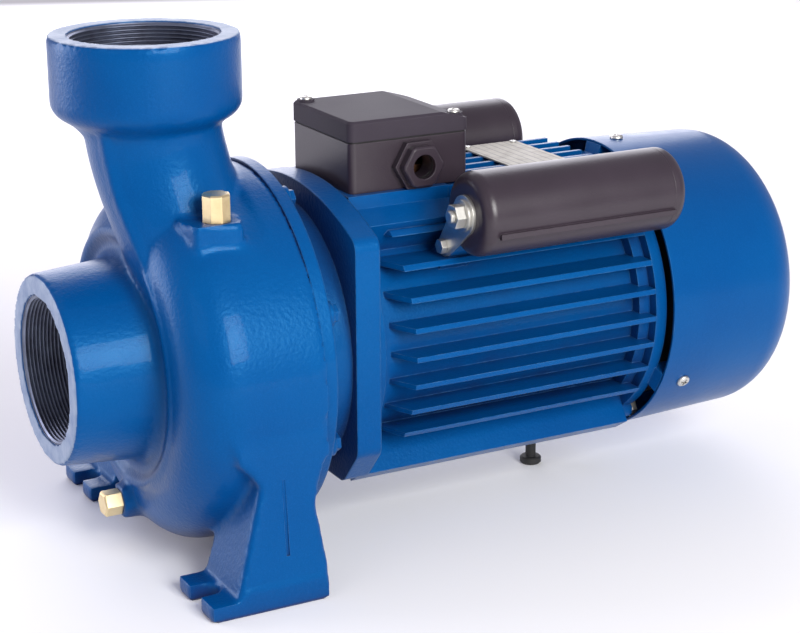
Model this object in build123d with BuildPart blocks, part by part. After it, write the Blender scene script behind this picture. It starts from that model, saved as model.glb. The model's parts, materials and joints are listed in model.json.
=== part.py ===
from build123d import *
import os
from math import atan2, cos, degrees, pi, radians, sin, sqrt

# Close-coupled single-stage centrifugal pump on a finned single-phase motor.
# Millimetres. X runs along the shaft from the suction mouth to the fan, Z is up,
# and the origin is the centre of the suction mouth, on the shaft axis.

os.makedirs("parts", exist_ok=True)


def save(builder, label):
    """Label a finished piece and write it under its node name."""
    builder.part.label = label
    export_step(builder.part, f"parts/{label}.step")


def radial_plane(x, angle):
    """Plane at x on the shaft axis, facing outwards at an angle from +Y."""
    return Plane(origin=(x, 0, 0), x_dir=(1, 0, 0), z_dir=(0, cos(radians(angle)), sin(radians(angle))))


# ---- fits and small clearances ----
running_gap = 0.05          # radial clearance of a turning or sliding fit
free_gap = 0.35             # between faces of different bodies that pass each other
face_film = 0.10            # axial film between the seal faces
seat_gap = 0.10             # around pieces that sit still in a pocket

# ---- pipe ports, G3 parallel thread ----
port_r = 43.94              # major radius of the thread
port_depth = 36.0
suction_mouth_r = 57.0      # outside of the suction collar at its face
suction_root_r = 60.0
suction_length = 38.0
discharge_x = 71.0
discharge_top = 192.6
discharge_r = 55.5
discharge_length = 43.5
port_edge = 1.5             # chamfer on the port rims
collar_neck_r = 40.0        # where the collar blends into the neck
collar_neck_drop = 12.0     # how far down the neck the blend reaches
collar_corner = 3.0

# ---- volute ----
shaft_height = 121.6        # shaft axis above the soles of the feet
chamber_r = 94.0
chamber_front = 60.0
joint_x = 129.0             # face between the casing and the bracket
casing_rim_r = 110.0
scroll_r = 109.0
scroll_y = -5.5             # the scroll is fuller on the side away from the neck
scroll_z = -4.0
scroll_front = 48.0
scroll_corner = 33.0
ridge_x = 46.5              # crest of the ridge around the nose
ridge_r = 77.0
nose_dip_x = 52.0           # floor of the dip between the collar and the ridge
nose_dip_r = 68.0
throat_r = 38.35
neck_wall = 7.0
neck_overlap = 6.0          # of the neck's top below the collar
spigot_r = 95.0             # bore that centres the bracket in the casing
spigot_depth = 8.0

# ---- feet ----
foot_half_width = 126.0
foot_top_half_width = 111.0
foot_inner = 76.0
foot_rear = 123.0
foot_front = 66.0
foot_shoulder_x = 85.0      # where the leg's front edge ends, under the scroll
foot_shoulder_z = -49.0
foot_waist_z = -64.0        # narrowest level of the leg, seen from the side
foot_top_z = 60.0
pad_front = 49.0
pad_height = 10.0
slot_y = 100.0
slot_r = 7.75
slot_end = 56.5             # centre of the slot's round end
foot_pocket_wall = 9.0
foot_pocket_top = -60.0
foot_pocket_depth = 24.0

# ---- plugs ----
vent_x = 85.5
vent_y = -64.0
vent_seat_z = 94.0
vent_head_r = 8.5
vent_head_height = 16.0
vent_stem_r = 6.0
vent_stem_length = 16.0
drain_z = -91.0
drain_seat_x = 42.0
drain_head_af = 14.0
drain_head_length = 11.0
drain_stem_r = 5.0
drain_stem_length = 12.0
plug_boss_r = 12.0

# ---- bracket between pump and motor ----
flange_thickness = 8.0
flange_r = 111.0
lantern_r = 84.0
lantern_wall = 8.0
plate_front = 160.0
plate_rear = 176.0
plate_half_width = 89.0
plate_side_top = 76.0       # the plate's top is an arc, lower at its sides
plate_crown = 98.0
plate_side_bottom = -54.0
plate_bottom = -77.0
plate_bottom_half = 69.0
plate_corner_r = 9.0
bearing_wall = 10.0         # metal around the front bearing
bolt_circle_r = 102.5
bolt_count = 8
bolt_r = 3.0
bolt_head_af = 10.0
bolt_head_height = 4.0
bolt_boss_r = 7.8
bolt_boss_height = 3.0
bolt_reach = 12.0           # of the thread into the casing

# ---- shaft and impeller ----
impeller_r = 80.0
impeller_bore = 8.0
shroud_front = 68.0         # outer face of the front shroud at its rim
shroud_thickness = 4.0
outlet_width = 16.0
eye_r = 34.0
eye_start = 48.0
hub_r = 16.0
hub_end = 106.0
vane_count = 6
vane_thickness = 4.0
shaft_thread_r = 6.0
shaft_seal_r = 10.0
key_width = 5.0

# ---- bearings: outer radius, bore radius, width, ball radius ----
front_bearing_x = 158.0
front_bearing = (26.0, 12.5, 15.0, 3.97)
rear_bearing_inset = 13.0   # from the motor's rear face
rear_bearing = (23.5, 10.0, 14.0, 3.97)
ball_count = 8

# ---- motor ----
motor_rear = 373.0
shell_r = 73.0
rear_bearing_x = motor_rear - rear_bearing_inset
stator_r = 66.0
stator_bore = 42.0
air_gap = 0.5
core_front = 215.0
core_rear = motor_rear - 58.0
slot_count = 24
fin_front = 191.0
fin_rear = motor_rear - 2.0
fin_pitch = 17.5
fin_thickness = 3.2
fin_tip_r = 91.0
tie_y = 48.0
tie_z = 75.0
tie_r = 3.0
tie_reach = 11.0            # of the thread into the bracket
tie_nut_af = 10.0
tie_nut_height = 4.0
lug_r = 99.0
lug_width = 15.0
shield_thickness = 8.0
shield_r = 88.0
fan_r = 80.0
fan_front = motor_rear + 25.0
fan_depth = 34.0
fan_seat_r = 9.0

# ---- fan cover ----
cover_front = motor_rear + shield_thickness
cover_length = 108.0
cover_rear = cover_front + cover_length
cover_front_r = 96.6
cover_rear_r = 94.0
cover_corner_r = 28.0
cover_wall = 1.5
cover_screw_x = cover_front + 18.0
cover_screw_angles = (90, 210, 330)
cover_head_r = 4.3
cover_head_height = 2.4
air_slot_length = 11.0
air_slot_width = 4.5
air_slot_rings = ((20, 10), (34, 18), (48, 26), (60, 34))   # radius and number of slots

# ---- terminal box ----
box_front = 182.0
box_rear = 262.6
box_half_width = 40.0
box_floor_z = 92.0
box_seam_z = 123.5
box_top_z = 135.8
box_wall = 3.0
box_floor = 2.0
box_corner_r = 4.0
gasket_thickness = 1.0
pad_front_x = 178.0
pad_rear_x = 246.0
pad_half_width = 45.0
lid_slope_x = 245.0         # where the lid's top starts to fall towards the fan end
lid_rear_z = 130.5
gland_x = 226.0
gland_z = 106.5
gland_bore = 7.5
gland_tube_r = 9.5
gland_hex_thickness = 5.2
gland_nut_r = 13.4          # over the nut's rounded corners
gland_nut_af = 24.4
gland_nut_length = 6.5
gland_nut_lip = 3.5
gland_nut_edge = 1.0
lid_screw_inset = 6.5
wire_hole_x = box_front + 14
wire_hole_r = 9.0

# ---- capacitors ----
near_capacitor_x = 232.0    # front face of the sleeve on the gland's side
far_capacitor_x = 228.0
sleeve_length = 132.0
sleeve_end = 3.0            # thickness of the sleeve's closed end
cap_length = 10.0
capacitor_edge_r = 7.0
capacitor_r = 25.5
capacitor_wall = 1.8
capacitor_y = 91.0
capacitor_z = 85.0
stud_r = 4.0
stud_reach = 12.0           # how far the stud stands out of the sleeve
stud_nut_af = 13.0
stud_nut_height = 6.0
stud_washer_r = 9.5
stud_washer_thickness = 1.6
strap_thickness = 2.0
strap_end_r = 12.0
strap_screw_af = 8.0
strap_screw_height = 3.5

# ---- support foot under the motor ----
support_x = 336.0
support_head_r = 7.2
support_head_height = 5.0
support_stem_r = 3.5

# ---- derived places ----
floor_z = -shaft_height
discharge_underside = discharge_top - discharge_length
back_x = joint_x + flange_thickness
shroud_inner = shroud_front + shroud_thickness
back_shroud = shroud_inner + outlet_width
fan_rear = fan_front + fan_depth
neck_stations = (
    # height, centre x, centre y, half length, half width
    (discharge_underside - neck_overlap, discharge_x + 1.5, -2.0, collar_neck_r, collar_neck_r),
    (106.0, 78.5, -7.0, 41.5, 40.0),
    (64.0, 87.0, -26.0, 41.0, 43.0),
    (20.0, 90.5, -50.0, 37.5, 45.0),
)
# outline of the neck as shares of its half length and half width, from the crease on its front
neck_outline = ((-0.95, -0.5), (-0.45, -0.88), (0.05, -1.0), (0.71, -0.71), (1.0, 0.0),
                (0.71, 0.71), (0.0, 1.0), (-0.72, 0.7), (-0.99, 0.1), (-0.95, -0.5))


# ======================= pump end =======================

# one foot, as the meeting of its front outline and its side outline
with BuildPart() as foot:
    with BuildSketch(Plane.YZ.offset(pad_front)):
        with BuildLine():
            Polyline((-foot_inner, floor_z), (-foot_half_width, floor_z),
                     (-foot_half_width, floor_z + pad_height), (-foot_top_half_width, -8),
                     (-foot_top_half_width + 1, 14), (-foot_inner, foot_top_z), (-foot_inner + 16, 0),
                     (-foot_inner + 4, foot_pocket_top), close=True)
        make_face()
    extrude(amount=joint_x - pad_front)
    with BuildSketch(Plane.XZ):
        with BuildLine():
            Polyline((pad_front, floor_z), (foot_rear, floor_z), (foot_rear, floor_z + 21),
                     (foot_rear - 4.5, foot_waist_z), (foot_rear + 1, foot_waist_z + 18),
                     (joint_x, foot_waist_z + 26), (joint_x, foot_top_z), (foot_shoulder_x + 17, foot_top_z),
                     (foot_front + 6, 20), (foot_front + 2, -12), (foot_front + 8, foot_shoulder_z + 13),
                     (foot_shoulder_x, foot_shoulder_z), (foot_front, floor_z + pad_height + 2),
                     (foot_front, floor_z + pad_height), (pad_front, floor_z + pad_height), close=True)
        make_face()
    extrude(amount=foot_half_width + 1, mode=Mode.INTERSECT)
    # open slot for the holding-down bolt
    with BuildSketch(Plane.XY.offset(floor_z)):
        with Locations((slot_end, -slot_y)):
            Circle(slot_r)
        with Locations(((slot_end + pad_front - 2) / 2, -slot_y)):
            Rectangle(slot_end - pad_front + 2, 2 * slot_r)
    extrude(amount=pad_height + 14, mode=Mode.SUBTRACT)
    # cored pocket behind the front web
    with BuildSketch(Plane.YZ.offset(foot_rear + 10)):
        with BuildLine():
            Polyline((-foot_inner - foot_pocket_wall, floor_z + pad_height + 2),
                     (-foot_half_width + foot_pocket_wall + 2, floor_z + pad_height + 2),
                     (-foot_top_half_width + 3, foot_pocket_top),
                     (-foot_inner - foot_pocket_wall, foot_pocket_top), close=True)
        make_face()
    extrude(amount=-foot_pocket_depth - 10, mode=Mode.SUBTRACT)

with BuildPart() as pump_casing:
    # scroll: a thick disc with a rounded front corner, set off the shaft axis
    with BuildSketch(Plane.YZ.offset(scroll_front)):
        with Locations((scroll_y, scroll_z)):
            Circle(scroll_r)
    extrude(amount=joint_x - scroll_front)
    fillet(edges().filter_by(GeomType.CIRCLE).sort_by(Axis.X)[0], scroll_corner)
    # dished face around the suction collar
    with BuildSketch(Plane.XZ):
        with BuildLine():
            Polyline((scroll_front - 4, 0), (scroll_front - 4, ridge_r), (ridge_x, ridge_r),
                     (nose_dip_x, nose_dip_r), (nose_dip_x, 0), close=True)
        make_face()
    revolve(axis=Axis.X, mode=Mode.SUBTRACT)
    # suction collar, the ridge around it and the rim that meets the bracket
    with BuildSketch(Plane.XZ):
        with BuildLine():
            Polyline((0, 0), (0, suction_mouth_r), (suction_length, suction_root_r),
                     (nose_dip_x - 4, suction_root_r + 1), (nose_dip_x, nose_dip_r), (ridge_x, ridge_r - 1),
                     (ridge_x, ridge_r + 1), (scroll_front + 5, ridge_r + 7), (joint_x - 22, ridge_r + 7),
                     (joint_x - 16, casing_rim_r), (joint_x, casing_rim_r), (joint_x, 0), close=True)
        make_face()
    revolve(axis=Axis.X)
    # neck that sweeps from the scroll up to the discharge collar
    for height, x, y, half_x, half_y in neck_stations:
        with BuildSketch(Plane.XY.offset(height)):
            with BuildLine():
                Spline(*[(x + half_x * u, y + half_y * v) for u, v in neck_outline])
            make_face()
    loft()
    with BuildSketch(Plane.XZ):
        with BuildLine():
            Polyline((discharge_x, discharge_underside - collar_neck_drop),
                     (discharge_x + collar_neck_r, discharge_underside - collar_neck_drop),
                     (discharge_x + collar_neck_r + collar_corner,
                      discharge_underside - collar_neck_drop + 4),
                     (discharge_x + discharge_r - collar_corner, discharge_underside - 2),
                     (discharge_x + discharge_r, discharge_underside + collar_corner),
                     (discharge_x + discharge_r, discharge_top), (discharge_x, discharge_top), close=True)
        make_face()
    revolve(axis=Axis((discharge_x, 0, 0), (0, 0, 1)))
    add(foot.part)
    mirror(foot.part, about=Plane.XZ)
    # seat for the vent plug, standing out of the shoulder
    with BuildSketch(Plane.XY.offset(vent_seat_z)):
        with BuildLine():
            Polyline((vent_x - 21, vent_y + 13), (vent_x - 17, vent_y - 10), (vent_x + 12, vent_y - 12),
                     (vent_x + 15, vent_y + 13), close=True)
        make_face()
    extrude(amount=-26)
    with BuildSketch(Plane.XY.offset(vent_seat_z)):
        with Locations((vent_x, vent_y)):
            Circle(vent_head_r + 3)
    extrude(amount=30, mode=Mode.SUBTRACT)
    # seat for the drain plug
    with BuildSketch(Plane.YZ.offset(drain_seat_x)):
        with Locations((0, drain_z)):
            RegularPolygon(plug_boss_r, 6)
    extrude(amount=20)
    # impeller chamber, throat and suction bore
    with BuildSketch(Plane.XZ):
        with BuildLine():
            Polyline((-1, 0), (-1, port_r), (port_depth, port_r), (port_depth + 4, throat_r),
                     (chamber_front, throat_r), (chamber_front, chamber_r - 12),
                     (chamber_front + 8, chamber_r),
                     (joint_x - spigot_depth, chamber_r), (joint_x - spigot_depth, spigot_r),
                     (joint_x + 1, spigot_r), (joint_x + 1, 0), close=True)
        make_face()
    revolve(axis=Axis.X, mode=Mode.SUBTRACT)
    # passage through the neck
    for height, x, y, half_x, half_y in neck_stations:
        with BuildSketch(Plane.XY.offset(height)):
            with Locations((x, y)):
                Ellipse(half_x - neck_wall, half_y - neck_wall)
    loft(mode=Mode.SUBTRACT)
    neck_top, neck_top_x, neck_top_y = neck_stations[0][:3]
    with BuildSketch(Plane.XY.offset(neck_top)):
        with Locations((neck_top_x, neck_top_y)):
            Circle(collar_neck_r - neck_wall)
    extrude(amount=discharge_top - discharge_underside, mode=Mode.SUBTRACT)
    with BuildSketch(Plane.XY.offset(discharge_top)):
        with Locations((discharge_x, 0)):
            Circle(port_r)
    extrude(amount=-port_depth, mode=Mode.SUBTRACT)
    # tapped holes for the plugs and the bracket bolts
    with BuildSketch(Plane.XY.offset(vent_seat_z)):
        with Locations((vent_x, vent_y)):
            Circle(vent_stem_r + running_gap)
    extrude(amount=-30, mode=Mode.SUBTRACT)
    with BuildSketch(Plane.YZ.offset(drain_seat_x)):
        with Locations((0, drain_z)):
            Circle(drain_stem_r + running_gap)
    extrude(amount=26, mode=Mode.SUBTRACT)
    with BuildSketch(Plane.YZ.offset(joint_x)):
        with PolarLocations(bolt_circle_r, bolt_count, start_angle=180 / bolt_count):
            Circle(bolt_r)
    extrude(amount=-bolt_reach - 2, mode=Mode.SUBTRACT)
    chamfer(edges().filter_by(GeomType.CIRCLE).group_by(Axis.X)[0].sort_by(SortBy.RADIUS)[-1], port_edge)
    chamfer(edges().filter_by(GeomType.CIRCLE).group_by(Axis.Z)[-1].sort_by(SortBy.RADIUS)[-1], port_edge)
save(pump_casing, "pump_casing")

with BuildPart() as vent_plug:
    with BuildSketch(Plane.XY.offset(vent_seat_z)):
        with Locations((vent_x, vent_y)):
            RegularPolygon(vent_head_r, 8)
    extrude(amount=vent_head_height)
    chamfer(faces().sort_by(Axis.Z)[-1].edges(), 1.0)
    with BuildSketch(Plane.XY.offset(vent_seat_z)):
        with Locations((vent_x, vent_y)):
            Circle(vent_stem_r)
    extrude(amount=-vent_stem_length)
save(vent_plug, "vent_plug")

with BuildPart() as drain_plug:
    with BuildSketch(Plane.YZ.offset(drain_seat_x)):
        with Locations((0, drain_z)):
            RegularPolygon(drain_head_af / 2, 6, major_radius=False)
    extrude(amount=-drain_head_length)
    chamfer(faces().sort_by(Axis.X)[0].edges(), 1.0)
    with BuildSketch(Plane.YZ.offset(drain_seat_x)):
        with Locations((0, drain_z)):
            Circle(drain_stem_r)
    extrude(amount=drain_stem_length)
save(drain_plug, "drain_plug")

# bracket: flange with spigot, lantern around the seal and the plate that closes the motor
wall_x = back_shroud + shroud_thickness + 4
seal_seat_x = 124.0
seal_seat_rear = seal_seat_x + 7
seal_seat_r = 17.0
seal_bore_r = 11.5
o_ring_r = 1.5
o_ring_x = joint_x - 4.0
front_race_r = front_bearing[0]
front_bearing_rear = front_bearing_x + front_bearing[2]
shaft_hole_r = 15.0

with BuildPart() as motor_bracket:
    # solid of revolution, outside and inside in one outline
    with BuildSketch(Plane.XZ):
        with BuildLine():
            Polyline((wall_x, seal_seat_r), (wall_x, chamber_r - 10), (wall_x + 6, chamber_r - 4),
                     (joint_x - spigot_depth + seat_gap, chamber_r - 4),
                     (joint_x - spigot_depth + seat_gap, spigot_r - seat_gap),
                     (joint_x, spigot_r - seat_gap), (joint_x, flange_r), (back_x, flange_r),
                     (back_x, lantern_r), (plate_front + 2, lantern_r),
                     (plate_front + 2, front_race_r + bearing_wall),
                     (front_bearing_rear, front_race_r + bearing_wall), (front_bearing_rear, front_race_r),
                     (front_bearing_x, front_race_r), (front_bearing_x, shaft_hole_r),
                     (front_bearing_x - 4, shaft_hole_r), (front_bearing_x - 4, lantern_r - lantern_wall),
                     (wall_x + 10, lantern_r - lantern_wall), (wall_x + 10, seal_seat_r + 7),
                     (seal_seat_rear + 3, seal_seat_r + 7), (seal_seat_rear + 3, seal_bore_r),
                     (seal_seat_rear, seal_bore_r), (seal_seat_rear, seal_seat_r), close=True)
        make_face()
    revolve(axis=Axis.X)
    # rounded square plate towards the motor
    with BuildSketch(Plane.YZ.offset(plate_front)):
        with BuildLine():
            ThreePointArc((-plate_half_width, plate_side_top), (0, plate_crown),
                          (plate_half_width, plate_side_top))
            Polyline((plate_half_width, plate_side_top), (plate_half_width, plate_side_bottom),
                     (plate_bottom_half, plate_bottom), (-plate_bottom_half, plate_bottom),
                     (-plate_half_width, plate_side_bottom), (-plate_half_width, plate_side_top))
        make_face()
        fillet(vertices(), plate_corner_r)
        Circle(front_race_r + bearing_wall - 1, mode=Mode.SUBTRACT)
    extrude(amount=plate_rear - plate_front)
    # relief behind the plate for the windings
    with BuildSketch(Plane.YZ.offset(plate_rear)):
        Circle(stator_r - 2)
        Circle(front_race_r + bearing_wall, mode=Mode.SUBTRACT)
    extrude(amount=-(plate_rear - plate_front - 6), mode=Mode.SUBTRACT)
    # groove for the casing seal
    with BuildSketch(Plane.XZ):
        with Locations((o_ring_x, spigot_r)):
            Rectangle(2 * o_ring_r + 6 * seat_gap, 4 * o_ring_r + 4 * seat_gap)
    revolve(axis=Axis.X, mode=Mode.SUBTRACT)
    # cored windows in the lantern, above and below
    with BuildSketch(Plane.XY):
        with Locations(((back_x + plate_front) / 2 + 1, 0)):
            RectangleRounded(13, 60, 5)
    extrude(amount=-lantern_r - 1, mode=Mode.SUBTRACT)
    # bosses and clearance holes for the casing bolts
    with BuildSketch(Plane.YZ.offset(back_x)):
        with PolarLocations(bolt_circle_r, bolt_count, start_angle=180 / bolt_count):
            Circle(bolt_boss_r)
    extrude(amount=bolt_boss_height)
    with BuildSketch(Plane.YZ.offset(joint_x)):
        with PolarLocations(bolt_circle_r, bolt_count, start_angle=180 / bolt_count):
            Circle(bolt_r + seat_gap)
    extrude(amount=flange_thickness + bolt_boss_height, mode=Mode.SUBTRACT)
    # tapped holes for the motor's tie rods
    with BuildSketch(Plane.YZ.offset(plate_rear)):
        with GridLocations(2 * tie_y, 2 * tie_z, 2, 2):
            Circle(tie_r)
    extrude(amount=-tie_reach - 1, mode=Mode.SUBTRACT)
save(motor_bracket, "motor_bracket")

with BuildPart() as casing_seal:
    with BuildSketch(Plane.XZ):
        with Locations((o_ring_x, spigot_r - o_ring_r - seat_gap)):
            Circle(o_ring_r)
    revolve(axis=Axis.X)
save(casing_seal, "casing_seal")

with BuildPart() as casing_bolts:
    with BuildSketch(Plane.YZ.offset(back_x + bolt_boss_height)):
        with PolarLocations(bolt_circle_r, bolt_count, start_angle=180 / bolt_count):
            RegularPolygon(bolt_head_af / 2, 6, major_radius=False)
    extrude(amount=bolt_head_height)
    with BuildSketch(Plane.YZ.offset(back_x + bolt_boss_height)):
        with PolarLocations(bolt_circle_r, bolt_count, start_angle=180 / bolt_count):
            Circle(bolt_r)
    extrude(amount=-(flange_thickness + bolt_boss_height + bolt_reach))
save(casing_bolts, "casing_bolts")

# ======================= rotating parts =======================

rotor_seat_r = 16.0
bearing_bore_front = front_bearing[1]
bearing_bore_rear = rear_bearing[1]
rear_bearing_end = rear_bearing_x + rear_bearing[2]
impeller_hub_start = 76.0
nut_length = 9.0
washer_thickness = 2.0
washer_r = 12.0
impeller_nut_af = 19.0
keyway_length = 20.0
keyway_depth = 3.0          # in the shaft
shaft_start = impeller_hub_start - washer_thickness - nut_length - 2
clip_x = fan_rear + 0.2
clip_width = 1.2

with BuildPart() as shaft:
    with BuildSketch(Plane.XZ):
        with BuildLine():
            Polyline((shaft_start, 0), (shaft_start, shaft_thread_r - 1), (shaft_start + 1, shaft_thread_r),
                     (impeller_hub_start, shaft_thread_r), (impeller_hub_start, impeller_bore),
                     (hub_end, impeller_bore), (hub_end, shaft_seal_r), (front_bearing_x - 8, shaft_seal_r),
                     (front_bearing_x - 8, bearing_bore_front), (front_bearing_rear, bearing_bore_front),
                     (front_bearing_rear, bearing_bore_front + 3), (core_front - 18, bearing_bore_front + 3),
                     (core_front - 18, rotor_seat_r), (core_rear + 18, rotor_seat_r),
                     (core_rear + 18, bearing_bore_rear + 3), (rear_bearing_x, bearing_bore_rear + 3),
                     (rear_bearing_x, bearing_bore_rear), (rear_bearing_end + 4, bearing_bore_rear),
                     (rear_bearing_end + 4, fan_seat_r), (clip_x, fan_seat_r), (clip_x, fan_seat_r - 1),
                     (clip_x + clip_width, fan_seat_r - 1), (clip_x + clip_width, fan_seat_r),
                     (clip_x + 5, fan_seat_r), (clip_x + 6, fan_seat_r - 1), (clip_x + 6, 0), close=True)
        make_face()
    revolve(axis=Axis.X)
    with BuildSketch(Plane.XY.offset(impeller_bore - keyway_depth)):
        with Locations(((impeller_hub_start + hub_end) / 2, 0)):
            SlotOverall(keyway_length, key_width)
    extrude(amount=keyway_depth + 1, mode=Mode.SUBTRACT)
save(shaft, "shaft")

with BuildPart() as shaft_key:
    with BuildSketch(Plane.XY.offset(impeller_bore - keyway_depth)):
        with Locations(((impeller_hub_start + hub_end) / 2, 0)):
            SlotOverall(keyway_length, key_width)
    extrude(amount=keyway_depth + 2)
save(shaft_key, "shaft_key")

# backward-curved vane, between the eye and the rim
with BuildSketch(Plane.YZ.offset(shroud_inner)) as vane_plan:
    with BuildLine():
        ThreePointArc((eye_r + 2, 0), (52 * cos(radians(28)), 52 * sin(radians(28))),
                      ((impeller_r - 2) * cos(radians(82)), (impeller_r - 2) * sin(radians(82))))
    trace(line_width=vane_thickness)

with BuildPart() as impeller:
    with BuildSketch(Plane.XZ):
        with BuildLine():
            Polyline((eye_start, eye_r), (eye_start, throat_r - free_gap),
                     (shroud_front - 5, throat_r - free_gap),
                     (shroud_front, 48), (shroud_front, impeller_r), (shroud_inner, impeller_r),
                     (shroud_inner, 50), (shroud_front - 3, eye_r), close=True)
        make_face()
        with BuildLine():
            Polyline((impeller_hub_start, impeller_bore), (impeller_hub_start, hub_r),
                     (back_shroud - 4, hub_r + 4), (back_shroud, 32), (back_shroud, impeller_r),
                     (back_shroud + shroud_thickness, impeller_r),
                     (back_shroud + shroud_thickness, hub_r), (hub_end, hub_r), (hub_end, impeller_bore),
                     close=True)
        make_face()
    revolve(axis=Axis.X)
    with BuildSketch(Plane.YZ.offset(shroud_inner)):
        with PolarLocations(0, vane_count):
            add(vane_plan.sketch)
    extrude(amount=outlet_width)
    with BuildSketch(Plane.XY):
        with Locations(((impeller_hub_start + hub_end) / 2, 0)):
            Rectangle(hub_end - impeller_hub_start, key_width)
    extrude(amount=impeller_bore + 2 + seat_gap, mode=Mode.SUBTRACT)
save(impeller, "impeller")

with BuildPart() as impeller_washer:
    with BuildSketch(Plane.YZ.offset(impeller_hub_start - washer_thickness)):
        Circle(washer_r)
        Circle(shaft_thread_r + seat_gap, mode=Mode.SUBTRACT)
    extrude(amount=washer_thickness)
save(impeller_washer, "impeller_washer")

with BuildPart() as impeller_nut:
    with BuildSketch(Plane.YZ.offset(impeller_hub_start - washer_thickness)):
        RegularPolygon(impeller_nut_af / 2, 6, major_radius=False)
        Circle(shaft_thread_r, mode=Mode.SUBTRACT)
    extrude(amount=-nut_length)
save(impeller_nut, "impeller_nut")

seal_head_length = 9.0
with BuildPart() as seal_head:
    with BuildSketch(Plane.XZ):
        with BuildLine():
            Polyline((seal_seat_x - seal_head_length, shaft_seal_r), (seal_seat_x - seal_head_length, 15),
                     (seal_seat_x - 3, 15), (seal_seat_x - 3, 13.5), (seal_seat_x - face_film, 13.5),
                     (seal_seat_x - face_film, shaft_seal_r), close=True)
        make_face()
    revolve(axis=Axis.X)
save(seal_head, "seal_head")

with BuildPart() as seal_seat:
    with BuildSketch(Plane.YZ.offset(seal_seat_x)):
        Circle(seal_seat_r)
        Circle(shaft_seal_r + 1, mode=Mode.SUBTRACT)
    extrude(amount=7)
save(seal_seat, "seal_seat")

spring_wire_r = 0.9
spring_length = seal_seat_x - seal_head_length - hub_end
with BuildPart() as seal_spring:
    with BuildLine() as spring_path:
        Helix(pitch=2.4, height=spring_length - 2 * spring_wire_r, radius=12.5,
              center=(hub_end + spring_wire_r, 0, 0), direction=(1, 0, 0))
    with BuildSketch(Plane(origin=spring_path.line @ 0, z_dir=spring_path.line % 0)):
        Circle(spring_wire_r)
    sweep(is_frenet=True)
save(seal_spring, "seal_spring")

with BuildPart() as water_flinger:
    with BuildSketch(Plane.XZ):
        with BuildLine():
            Polyline((back_x + 4, shaft_seal_r), (back_x + 4, 15), (back_x + 6, 26), (back_x + 8, 26),
                     (back_x + 8, 15), (back_x + 9, 15), (back_x + 9, shaft_seal_r), close=True)
        make_face()
    revolve(axis=Axis.X)
save(water_flinger, "water_flinger")


def bearing_pieces(name, start, sizes):
    """Write the two races, the cage and the balls of one deep-groove ball bearing."""
    outer_r, bore_r, width, ball_r = sizes
    pitch_r = (outer_r + bore_r) / 2
    middle = start + width / 2
    land = ball_r * 0.62
    groove_r = ball_r + free_gap
    with BuildPart() as outer_race:
        with BuildSketch(Plane.XZ):
            with Locations((middle, (outer_r + pitch_r + land) / 2)):
                Rectangle(width, outer_r - pitch_r - land)
            with Locations((middle, pitch_r)):
                Circle(groove_r, mode=Mode.SUBTRACT)
        revolve(axis=Axis.X)
    save(outer_race, name + "_bearing_outer")
    with BuildPart() as inner_race:
        with BuildSketch(Plane.XZ):
            with Locations((middle, (bore_r + pitch_r - land) / 2)):
                Rectangle(width, pitch_r - land - bore_r)
            with Locations((middle, pitch_r)):
                Circle(groove_r, mode=Mode.SUBTRACT)
        revolve(axis=Axis.X)
    save(inner_race, name + "_bearing_inner")
    with BuildPart() as cage:
        with BuildSketch(Plane.YZ.offset(middle - ball_r - 1)):
            Circle(pitch_r + land - free_gap)
            Circle(pitch_r - land + free_gap, mode=Mode.SUBTRACT)
        extrude(amount=2 * ball_r + 2)
        for ball in range(ball_count):
            with BuildSketch(radial_plane(middle, ball * 360 / ball_count).offset(pitch_r - ball_r)):
                Circle(ball_r + seat_gap)
            extrude(amount=2 * ball_r, mode=Mode.SUBTRACT)
    save(cage, name + "_bearing_cage")
    with BuildPart() as balls:
        with Locations(Plane.YZ.offset(middle)):
            with PolarLocations(pitch_r, ball_count):
                Sphere(ball_r)
    save(balls, name + "_bearing_balls")


bearing_pieces("front", front_bearing_x, front_bearing)
bearing_pieces("rear", rear_bearing_x, rear_bearing)

with BuildPart() as rotor_core:
    with BuildSketch(Plane.YZ.offset(core_front)):
        Circle(stator_bore - air_gap)
        Circle(rotor_seat_r, mode=Mode.SUBTRACT)
    extrude(amount=core_rear - core_front)
save(rotor_core, "rotor_core")

end_ring_length = 10.0
end_ring_bore = 28.0

with BuildPart() as rotor_end_rings:
    for face_x, depth in ((core_front, -end_ring_length), (core_rear, end_ring_length)):
        with BuildSketch(Plane.YZ.offset(face_x)):
            Circle(stator_bore - 3)
            Circle(end_ring_bore, mode=Mode.SUBTRACT)
        extrude(amount=depth)
save(rotor_end_rings, "rotor_end_rings")

fan_hub_r = 24.0
fan_disc_start = fan_front + 4
fan_disc_end = fan_disc_start + 3
fan_vane_count = 8
fan_vane_thickness = 2.6
fan_vane_length = 62.0

with BuildPart() as cooling_fan:
    with BuildSketch(Plane.XZ):
        with BuildLine():
            Polyline((fan_front, fan_seat_r), (fan_front, fan_hub_r - 6), (fan_disc_start, fan_hub_r),
                     (fan_disc_start, fan_r), (fan_disc_end, fan_r), (fan_disc_end, fan_hub_r),
                     (fan_disc_end + 3, fan_hub_r - 4), (fan_rear, fan_hub_r - 8), (fan_rear, fan_seat_r),
                     close=True)
        make_face()
    revolve(axis=Axis.X)
    with BuildSketch(Plane.YZ.offset(fan_disc_end - 1)):
        with PolarLocations(fan_r - fan_vane_length / 2, fan_vane_count):
            Rectangle(fan_vane_length, fan_vane_thickness)
    extrude(amount=fan_depth - 8)
save(cooling_fan, "cooling_fan")

with BuildPart() as fan_clip:
    with BuildSketch(Plane.YZ.offset(clip_x)):
        Circle(fan_seat_r + 2.5)
        Circle(fan_seat_r - 1, mode=Mode.SUBTRACT)
        with Locations((0, fan_seat_r)):
            Rectangle(6, 8, mode=Mode.SUBTRACT)
    extrude(amount=clip_width)
save(fan_clip, "fan_clip")

# ======================= motor =======================

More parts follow.
